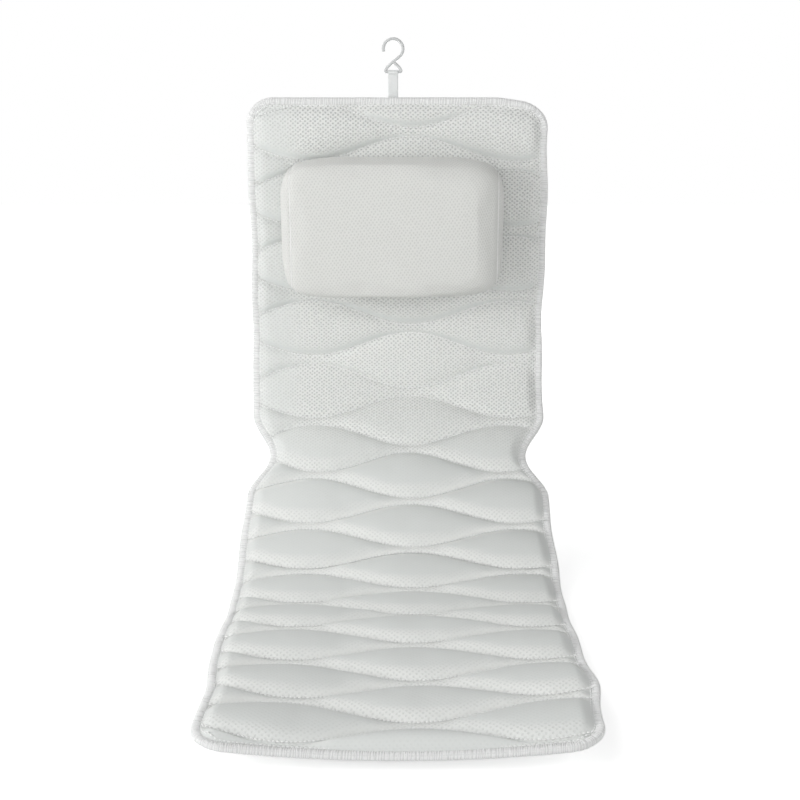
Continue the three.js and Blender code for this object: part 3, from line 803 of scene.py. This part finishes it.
# The binding's section from its inner edge over the face, round the outside and under: inwards, height
BINDING_SECTION = (
    (0.0090, 0.0073), (0.0076, 0.0083), (0.0050, BINDING_TOP), (0.0024, 0.0082), (0.0007, 0.0072),
    (0.0000, 0.0056), (0.0000, 0.0036), (0.0007, 0.0020), (0.0024, 0.0010), (0.0050, 0.0007),
    (0.0076, 0.0009), (0.0090, 0.0019),
)
# One overlock thread, over the face, round the edge and under: inwards, height
WRAP_SECTION = (
    (0.0088, 0.0078), (0.0055, 0.0086), (0.0023, 0.0082), (0.0001, 0.0058),
    (0.0001, 0.0032), (0.0023, 0.0010), (0.0055, 0.0006), (0.0088, 0.0014),
)


def other_side(points):
    """A stretch of outline, mirrored and followed the other way."""
    return points[::-1] * (-1, 1)


def edge_path(low, high):
    """The outline round the mat's top or foot, from side to side, and its direction at each point."""
    lengths = np.linspace(low, high, round((high - low) / EDGE_STEP))
    turn = np.linspace(0, math.pi / 2, CORNER_STEPS)[1:-1]
    reach = SIDE - CORNER_RADIUS
    corner_u, corner_s = reach + CORNER_RADIUS * np.cos(turn), CORNER_RADIUS * np.sin(turn)
    ends = np.linspace(-reach, reach, round(2 * reach / EDGE_STEP))
    if low < CORNER_RADIUS:
        lengths = lengths[lengths > CORNER_RADIUS]
        side = np.column_stack((-half_width(lengths, 0), lengths))[::-1]
        corner = np.column_stack((-corner_u, CORNER_RADIUS - corner_s))
        end = np.column_stack((ends, np.zeros(len(ends))))
    else:
        lengths = lengths[lengths < MAT_LENGTH - CORNER_RADIUS]
        side = np.column_stack((half_width(lengths, 0), lengths))
        corner = np.column_stack((corner_u, MAT_LENGTH - CORNER_RADIUS + corner_s))
        end = np.column_stack((ends[::-1], np.full(len(ends), MAT_LENGTH)))
    path = np.vstack((side, corner, end, other_side(corner), other_side(side)))
    along = np.gradient(path, axis=0)
    along /= np.linalg.norm(along, axis=1)[:, None]
    return path, along


def beside_edge(path, along, i, inwards, height):
    """The point of the flat mat that lies inwards from the outline's point i."""
    side = np.array((-along[i][1], along[i][0]))
    at = path[i] + side * inwards
    return Vector((at[0], -at[1], height))


def binding(name, path, along):
    """The tape folded over the mat's edge, a little uneven."""
    bm = bmesh.new()
    sides = len(BINDING_SECTION)
    steps = len(path) - 1
    bmesh.ops.create_grid(bm, x_segments=steps, y_segments=sides, size=1)
    for vert in bm.verts:
        i = round((vert.co.x + 1) / 2 * steps)
        inwards, height = BINDING_SECTION[round((vert.co.y + 1) / 2 * sides) % sides]
        ripple = noise.noise((path[i][0] * RIPPLE_SCALE, path[i][1] * RIPPLE_SCALE, RIPPLE_LAYER))
        inwards *= 1 + RIPPLE_WIDTH * ripple
        vert.co = beside_edge(path, along, i, inwards, height + RIPPLE_HEIGHT * ripple)
    bmesh.ops.remove_doubles(bm, verts=bm.verts, dist=TOUCHING)
    bmesh.ops.holes_fill(bm, edges=[e for e in bm.edges if e.is_boundary], sides=0)
    bmesh.ops.recalc_face_normals(bm, faces=bm.faces)
    piece = laid(made(name, bm, EDGE_TAPE))
    return piece


def wrap_shape():
    """One overlock thread: X inwards, Y along the edge."""
    count = len(WRAP_SECTION) - 1
    path = [(x, WRAP_SLANT * (i / count - 0.5), z) for i, (x, z) in enumerate(WRAP_SECTION)]
    return rod_mesh("strand", [path], WRAP_RADIUS, roundness=0)


def stitch_shape():
    bm = bmesh.new()
    bmesh.ops.create_icosphere(bm, subdivisions=1, radius=1)
    bmesh.ops.scale(bm, vec=(STITCH_LENGTH / 2, STITCH_RADIUS, STITCH_RADIUS), verts=bm.verts)
    mesh = bpy.data.meshes.new("stitch")
    bm.to_mesh(mesh)
    bm.free()
    return mesh


def spaced(path, pitch):
    """Places along a path a pitch apart, as fractional indices; the pitch may differ along it."""
    steps = np.linalg.norm(np.diff(path, axis=0), axis=1) / pitch
    counts = np.concatenate(([0], np.cumsum(steps)))
    return np.interp(np.arange(0.5, counts[-1]), counts, np.arange(len(path)))


def on_path(path, place):
    """The index before a fractional place on a path, and the point at the place."""
    i = int(place)
    return i, path[i] + (path[min(i + 1, len(path) - 1)] - path[i]) * (place - i)


def standing(at, height, turn):
    """The matrix that puts a small shape at a place on the flat mat, turned in its plane."""
    return Matrix.Translation((at[0], -at[1], height)) @ Matrix.Rotation(turn, 4, "Z")


def sewn_copies(name, shape, places):
    """One mesh of many copies of a small shape of thread, each at its own place."""
    bm = bmesh.new()
    for place in places:
        first = len(bm.verts)
        bm.from_mesh(shape)
        bm.verts.ensure_lookup_table()
        bmesh.ops.transform(bm, matrix=place, verts=bm.verts[first:])
    piece = laid(made(name, bm, SEWING_THREAD))
    return piece


def edge_threads(name, path, along, end_pitch):
    """The overlock threads round the edge, closer together down the sides than across the ends."""
    across = np.abs(along[:-1, 0])
    pitch = SIDE_WRAP_PITCH + (end_pitch - SIDE_WRAP_PITCH) * smooth(*END_TURN, across)
    places = []
    for place in spaced(path, pitch):
        i, at = on_path(path, max(0, place + chance.uniform(-WRAP_STRAY, WRAP_STRAY)))
        inwards = Vector((-along[i][1], -along[i][0], 0))
        turn = math.atan2(inwards.y, inwards.x) + chance.uniform(-WRAP_TURN, WRAP_TURN)
        places.append(standing(at, chance.uniform(-WRAP_LIFT, WRAP_LIFT), turn))
    return sewn_copies(name, wrap_shape(), places)


def needle_line(name, path, along):
    """The line of stitches on the mat just inside the binding."""
    side = np.column_stack((-along[:, 1], along[:, 0]))
    inner = path + side * (BINDING_WIDTH + NEEDLE_INSET)
    places = []
    for place in spaced(inner, STITCH_PITCH):
        i, at = on_path(inner, place)
        turn = math.atan2(-along[i][1], along[i][0]) + chance.uniform(-NEEDLE_TURN, NEEDLE_TURN)
        places.append(standing(at, face_level(*at) + STITCH_RADIUS / 2, turn))
    return sewn_copies(name, stitch_shape(), places)


def quilting_stitches(name, lines):
    """The stitches along some of the sewn lines, as far as the binding."""
    across = np.linspace(-SIDE, SIDE, LINE_STEPS)
    places = []
    for j in lines:
        s = sewn_line(j, across)
        line = np.column_stack((drawn_in(across, np.clip(s, 0, MAT_LENGTH)), s))
        for place in spaced(line, STITCH_PITCH):
            i, at = on_path(line, place)
            if edge_distance(*at) < BINDING_WIDTH:
                continue
            slope = line[min(i + 1, len(line) - 1)] - line[max(i - 1, 0)]
            places.append(standing(at, SEWN_LEVEL + STITCH_RISE, math.atan2(-slope[1], slope[0])))
    return sewn_copies(name, stitch_shape(), places)


# The head pillow

# From the middle of the crown round to the rear rim and back to the middle: share of the half size, height
PILLOW_FORM = (
    (0.0, 1.0), (0.55, 0.999), (0.80, 0.996), (0.90, 0.990), (0.942, 0.975), (0.968, 0.944), (0.984, 0.890),
    (0.993, 0.800), (0.998, 0.640), (0.993, 0.300), (0.972, 0.080), (0.940, 0.0), (0.5, 0.0), (0.0, 0.0),
)
# The same for the right-hand end, which is filled less and is rounder
SOFT_END_FORM = (
    (0.0, 1.0), (0.40, 0.996), (0.60, 0.985), (0.74, 0.962), (0.83, 0.928), (0.895, 0.875), (0.942, 0.795),
    (0.974, 0.680), (0.992, 0.520), (0.991, 0.270), (0.972, 0.080), (0.940, 0.0), (0.5, 0.0), (0.0, 0.0),
)


def pillow_outline(angle):
    a, b = abs(math.cos(angle)) / (PILLOW_SIZE[0] / 2), abs(math.sin(angle)) / (PILLOW_SIZE[1] / 2)
    return (a ** PILLOW_SQUARENESS + b ** PILLOW_SQUARENESS) ** (-1 / PILLOW_SQUARENESS)


def pillow_point(angle, share, height):
    """A point of the flat mat at a share of the pillow's outline and a height above its rear."""
    reach = pillow_outline(angle) * share
    full = height / PILLOW_SIZE[2]
    across = reach * math.cos(angle) + PILLOW_SKEW * full
    up = reach * math.sin(angle) * (1 + PILLOW_FLARE * full) + PILLOW_LIFT * full
    return Vector((across, up, height)) + Vector(PILLOW_AT)


def pillow_block():
    """The pillow's form before it swells: a ball, each of whose rings is moved to the form's section."""
    bm = bmesh.new()
    bmesh.ops.create_uvsphere(bm, u_segments=96, v_segments=60, radius=1)
    form, soft_end = np.array(PILLOW_FORM), np.array(SOFT_END_FORM)
    lengths = np.linalg.norm(np.diff(form * FORM_SPREAD, axis=0), axis=1)
    steps = np.concatenate(([0], np.cumsum(lengths)))
    steps /= steps[-1]
    for vert in bm.verts:
        along = math.acos(max(-1, min(1, vert.co.z))) / math.pi
        angle = math.atan2(vert.co.y * PILLOW_SIZE[1], vert.co.x * PILLOW_SIZE[0])
        rounded = float(smooth(*SOFT_END_TURN, math.cos(angle)))
        here = form + (soft_end - form) * rounded
        share, height = np.interp(along, steps, here[:, 0]), np.interp(along, steps, here[:, 1])
        vert.co = pillow_point(angle, share, height * (PILLOW_SIZE[2] - PILLOW_SWELL_ROOM))
    return bm


def round_the_pillow(points, normals):
    """Each point's place on the cover laid flat: the drop from the crown goes on beyond the edge."""
    from_middle = points - np.array(PILLOW_AT)
    drop = np.maximum(PILLOW_SIZE[2] - from_middle[:, 2], 0)
    sideways = normals[:, :2] ** 2
    sideways /= sideways.sum(axis=1)[:, None] + TOUCHING
    return points[:, :2] + np.sign(from_middle[:, :2]) * sideways * drop[:, None]


def seam_path(mesh, across):
    """The line on the pillow where an end panel is sewn in, up one side and down the other."""
    bm = bmesh.new()
    bm.from_mesh(mesh)
    geometry = [*bm.verts, *bm.edges, *bm.faces]
    cut = bmesh.ops.bisect_plane(bm, geom=geometry, plane_co=(across, 0, 0), plane_no=(1, 0, 0))
    line = [v.co.copy() for v in cut["geom_cut"] if isinstance(v, bmesh.types.BMVert)]
    bm.free()
    middle = Vector((across, PILLOW_AT[1], PILLOW_AT[2] + PILLOW_SIZE[2] * END_SEAM_MIDDLE))
    line.sort(key=lambda p: math.atan2(p.y - middle.y, p.z - middle.z))
    return [p for p in line if p.z > PILLOW_AT[2] + END_SEAM_FOOT]


def head_pillow():
    """The stuffed pillow, drawn in along the seams of its end panels, and the thread in those seams."""
    piece = made("pillow", pillow_block(), PILLOW_MESH)
    with_modifier(piece, "REMESH", mode="VOXEL", voxel_size=PILLOW_GRAIN)
    held = points_of(piece.data)[:, 2] < PILLOW_AT[2] + PILLOW_HELD
    swell(piece, held, PILLOW_SWELL, 0)
    with_modifier(piece, "SUBSURF", levels=1, render_levels=1)
    points = points_of(piece.data)
    normals = normals_of(piece.data)
    for seam in END_SEAMS:
        depth = END_SEAM_DEPTH * np.exp(-((points[:, 0] - seam) / END_SEAM_WIDTH) ** 2)
        points -= normals * depth[:, None]
    set_points(piece.data, points)
    cloth_uv(piece, round_the_pillow(points, normals))
    seams = [seam_path(piece.data, seam) for seam in END_SEAMS]
    laid(piece)
    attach(piece, "pillow")
    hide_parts("pillow_cover", "pillow_rear_panel", "pillow_fill")
    thread = rod_mesh("seam", seams, END_SEAM_RADIUS, roundness=1)
    cord = laid(from_rods("pillow_end_seams", thread, SEWING_THREAD))
    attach(cord, "pillow")


def pillow_piping():
    turns = [2 * math.pi * i / PIPING_STEPS for i in range(PIPING_STEPS)]
    path = [pillow_point(a, PIPING_SHARE, PIPING_LEVEL) for a in turns]
    cord = rod_mesh("piping", [path], PIPING_RADIUS, roundness=2, closed=True)
    piece = laid(from_rods("pillow_seam", cord, PIPING_TAPE))
    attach(piece, "pillow")
    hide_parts("pillow_piping")


def fastener_strip(node, body, across, level):
    bm = bmesh.new()
    bmesh.ops.create_grid(bm, x_segments=10, y_segments=48, size=0.5)
    bmesh.ops.scale(bm, vec=(STRIP_SIZE[0], STRIP_SIZE[1], 1), verts=bm.verts)
    bmesh.ops.solidify(bm, geom=list(bm.faces), thickness=STRIP_SIZE[2])
    bmesh.ops.translate(bm, vec=(across, PILLOW_AT[1], level), verts=bm.verts)
    low = min(v.co.z for v in bm.verts)
    bmesh.ops.translate(bm, vec=(0, 0, level - low), verts=bm.verts)
    bmesh.ops.recalc_face_normals(bm, faces=bm.faces)
    piece = laid(made(node + "_tape", bm, FASTENER))
    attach(piece, body)
    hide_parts(node)


def fastener_strips():
    """A loop strip on the mat and a hook strip on the pillow, on either side."""
    loop_level = SEWN_LEVEL + PRESSED_RISE + STRIP_GAP
    for side, sign in (("left", -1), ("right", 1)):
        across = PILLOW_AT[0] + sign * STRIP_SPREAD
        fastener_strip("loop_strip_" + side, "back", across, loop_level)
        fastener_strip("hook_strip_" + side, "pillow", across, loop_level + STRIP_SIZE[2] + STRIP_GAP)


# The strap and its hook

# The left leg of the hook's eye from its neck down to its bar, and the neck's two places: across, height
EYE_LEG = ((-0.007, 0.0077), (0.001 - EYE_REACH, 0.0036), (-EYE_REACH, 0.0014), (0.002 - EYE_REACH, 0))
NECK_START = (0.002, EYE_HEIGHT + 0.001)
NECK_END = (-0.001, EYE_HEIGHT)


def webbing_strap():
    """A flat webbing, doubled, sewn behind the top edge and looped round the hook's bar."""
    bm = bmesh.new()
    half = STRAP_PLY / 2
    eye = HOOK_ROD + LOOP_PLAY + half
    neck = STRAP_LENGTH - eye - LOOP_NECK
    turn = np.linspace(-LOOP_WRAP, math.pi + LOOP_WRAP, LOOP_STEPS)
    path = [(y, half) for y in np.linspace(-STRAP_TAIL, neck, STRAP_STEPS)]
    path += [(STRAP_LENGTH + eye * math.sin(a), eye * math.cos(a)) for a in turn]
    path += [(y, -half) for y in np.linspace(neck, -STRAP_TAIL, STRAP_STEPS)]
    steps = len(path) - 1
    bmesh.ops.create_grid(bm, x_segments=8, y_segments=steps, size=1)
    for vert in bm.verts:
        y, z = path[round((vert.co.y + 1) / 2 * steps)]
        sewn_on = TAIL_LIFT * float(smooth(*TAIL_LIFT_ALONG, -y))
        vert.co = (STRAP_AT + vert.co.x * STRAP_WIDTH / 2, y, STRAP_LEVEL + z + sewn_on)
    bmesh.ops.recalc_face_normals(bm, faces=bm.faces)
    bmesh.ops.solidify(bm, geom=list(bm.faces), thickness=STRAP_WEAVE)
    bmesh.ops.recalc_face_normals(bm, faces=bm.faces)
    piece = laid(made("strap", bm, WEBBING))
    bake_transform(piece)
    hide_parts("strap_tail", "strap_loop")


def hanging_hook():
    """One bent rod: the crook, and below it the eye whose bar the strap holds."""
    angles = [math.radians(a) for a in CROOK_DEGREES]
    path = [(CROOK_RADIUS * math.cos(a), CROOK_HEIGHT + CROOK_RADIUS * math.sin(a)) for a in angles]
    path += [NECK_START, *EYE_LEG, (0, 0)]
    path += [(-x, y) for x, y in reversed(EYE_LEG)] + [NECK_END]
    line = [(STRAP_AT + x, STRAP_LENGTH + y, STRAP_LEVEL) for x, y in path]
    rod = rod_mesh("hook_line", [line], HOOK_ROD, roundness=4, kind="NURBS")
    piece = laid(from_rods("hanging_hook", rod, HOOK_PLASTIC))
    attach(piece, "hook")
    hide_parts("hook")


# The suction cups

# A cup's section from the middle of its hollow round to the top of its neck: radius, height
CUP_SECTION = (
    (0.0, -0.0055), (0.0050, -0.0057), (0.0095, -0.0066), (0.0135, -0.0084), (0.0170, -0.0110),
    (0.0190, -0.0110), (0.0192, -0.0103), (0.0185, -0.0098), (0.0150, -0.0070), (0.0110, -0.0048),
    (0.0075, -0.0034), (0.0058, -0.0018), (0.0050, -0.0003), (0.0040, -0.0003), (0.0040, 0.0016),
    (0.0, 0.0016),
)


def suction_cup(node, body, u, s):
    bm = bmesh.new()
    verts = [bm.verts.new((radius, 0, height)) for radius, height in CUP_SECTION]
    edges = [bm.edges.new(pair) for pair in zip(verts, verts[1:])]
    bmesh.ops.spin(
        bm, geom=verts + edges, cent=(0, 0, 0), axis=(0, 0, 1), angle=2 * math.pi, steps=48, use_merge=True)
    bmesh.ops.remove_doubles(bm, verts=bm.verts, dist=TOUCHING)
    bmesh.ops.recalc_face_normals(bm, faces=bm.faces)
    bmesh.ops.translate(bm, vec=(u, -s, 0), verts=bm.verts)
    piece = laid(made(node + "_moulding", bm, CUP_VINYL))
    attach(piece, body)
    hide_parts(node)


def suction_cups():
    for body, places in CUPS_AT.items():
        for i, (s, sign) in enumerate((s, sign) for s in places for sign in (-1, 1)):
            suction_cup(f"{body}_cup_{i + 1}", body, sign * CUP_SPREAD, s)


# The studio

def seen_directly(tree):
    """1 for what the camera sees, also in a shiny surface or through a clear one."""
    rays = added(tree, "ShaderNodeLightPath")
    shiny = added(tree, "ShaderNodeMath", operation="MAXIMUM")
    clear = added(tree, "ShaderNodeMath", operation="MAXIMUM")
    link = tree.links.new
    link(rays.outputs["Is Camera Ray"], shiny.inputs[0])
    link(rays.outputs["Is Glossy Ray"], shiny.inputs[1])
    link(shiny.outputs["Value"], clear.inputs[0])
    link(rays.outputs["Is Transmission Ray"], clear.inputs[1])
    return clear.outputs["Value"]


def white_room(scene):
    """Grey light from all round, and white where the camera looks past the object."""
    world = bpy.data.worlds.new("studio")
    scene.world = world
    world.use_nodes = True
    tree = world.node_tree
    sky = tree.nodes["Background"]
    sky.inputs["Color"].default_value = SKY_GREY
    white = added(tree, "ShaderNodeBackground")
    white.inputs["Color"].default_value = (1, 1, 1, 1)
    mix = added(tree, "ShaderNodeMixShader")
    link = tree.links.new
    link(seen_directly(tree), mix.inputs["Fac"])
    link(sky.outputs["Background"], mix.inputs[1])
    link(white.outputs["Background"], mix.inputs[2])
    link(mix.outputs["Shader"], tree.nodes["World Output"].inputs["Surface"])


def pale_floor():
    """A floor that takes the object's shadow and is whiter away from it."""
    material, tree, surface = shader("pale_floor", 0.9)
    surface.inputs["Base Color"].default_value = FLOOR_GREY
    surface.inputs["Specular IOR Level"].default_value = 0
    place = added(tree, "ShaderNodeTexCoord").outputs["Object"]
    distance = added(tree, "ShaderNodeVectorMath", operation="LENGTH")
    whiter = added(tree, "ShaderNodeMapRange", interpolation_type="SMOOTHSTEP")
    whiter.inputs["From Min"].default_value, whiter.inputs["From Max"].default_value = FLOOR_FADE
    whiter.inputs["To Min"].default_value, whiter.inputs["To Max"].default_value = FLOOR_GLOW
    shown = added(tree, "ShaderNodeMath", operation="MULTIPLY")
    glow = added(tree, "ShaderNodeEmission")
    both = added(tree, "ShaderNodeAddShader")
    link = tree.links.new
    link(place, distance.inputs[0])
    link(distance.outputs["Value"], whiter.inputs["Value"])
    link(seen_directly(tree), shown.inputs[0])
    link(whiter.outputs["Result"], shown.inputs[1])
    link(shown.outputs["Value"], glow.inputs["Strength"])
    link(surface.outputs["BSDF"], both.inputs[0])
    link(glow.outputs["Emission"], both.inputs[1])
    link(both.outputs["Shader"], tree.nodes["Material Output"].inputs["Surface"])
    bm = bmesh.new()
    bmesh.ops.create_grid(bm, x_segments=1, y_segments=1, size=FLOOR_REACH)
    floor = made("floor", bm, material)


def softboxes(scene):
    for name, (place, size, power) in SOFTBOXES.items():
        lamp = bpy.data.lights.new(name, "AREA")
        lamp.size = size
        lamp.energy = power
        light = bpy.data.objects.new(name, lamp)
        light.location = place
        light.rotation_euler = (Vector(LIT_POINT) - Vector(place)).to_track_quat("-Z", "Y").to_euler()
        scene.collection.objects.link(light)


def photo_camera(scene):
    lens = bpy.data.cameras.new("photo_camera")
    lens.sensor_width = CAMERA_SENSOR
    lens.lens = CAMERA_LENS
    camera = bpy.data.objects.new("photo_camera", lens)
    camera.location = CAMERA_AT
    camera.rotation_euler = (math.radians(90 - CAMERA_TILT), 0, 0)
    scene.collection.objects.link(camera)
    scene.camera = camera


def studio():
    scene = bpy.context.scene
    scene.view_settings.view_transform = "Standard"
    white_room(scene)
    pale_floor()
    softboxes(scene)
    photo_camera(scene)


# Putting it together

split_at = float(sewn_line(SPLIT_LINE, np.array(0.0)))
upper_edge = edge_path(0, split_at)
lower_edge = edge_path(split_at, MAT_LENGTH)
upper_mat = mat_length("mat_upper", TOP_LINE, SPLIT_LINE)
lower_mat = mat_length("mat_lower", SPLIT_LINE, LAST_LINE)
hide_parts(*layers("back", "waist"))
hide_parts(*layers("seat", "knee", "legs"))
upper_binding = binding("binding_upper", *upper_edge)
lower_binding = binding("binding_lower", *lower_edge)
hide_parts("back_binding", "waist_binding_left", "waist_binding_right")
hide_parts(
    "seat_binding_left", "seat_binding_right", "knee_binding_left", "knee_binding_right",
    "legs_binding")
upper_pieces = [
    upper_mat,
    upper_binding,
    edge_threads("overlock_upper", *upper_edge, TOP_WRAP_PITCH),
    needle_line("needle_line_upper", *upper_edge),
    quilting_stitches("quilting_upper", range(0, SPLIT_LINE)),
]
lower_pieces = [
    lower_mat,
    lower_binding,
    edge_threads("overlock_lower", *lower_edge, FOOT_WRAP_PITCH),
    needle_line("needle_line_lower", *lower_edge),
    quilting_stitches("quilting_lower", range(SPLIT_LINE, LAST_LINE)),
]
for piece in upper_pieces:
    rides_upper(piece)
for piece in lower_pieces:
    rides_lower(piece)

head_pillow()
pillow_piping()
fastener_strips()
webbing_strap()
hanging_hook()
suction_cups()
studio()
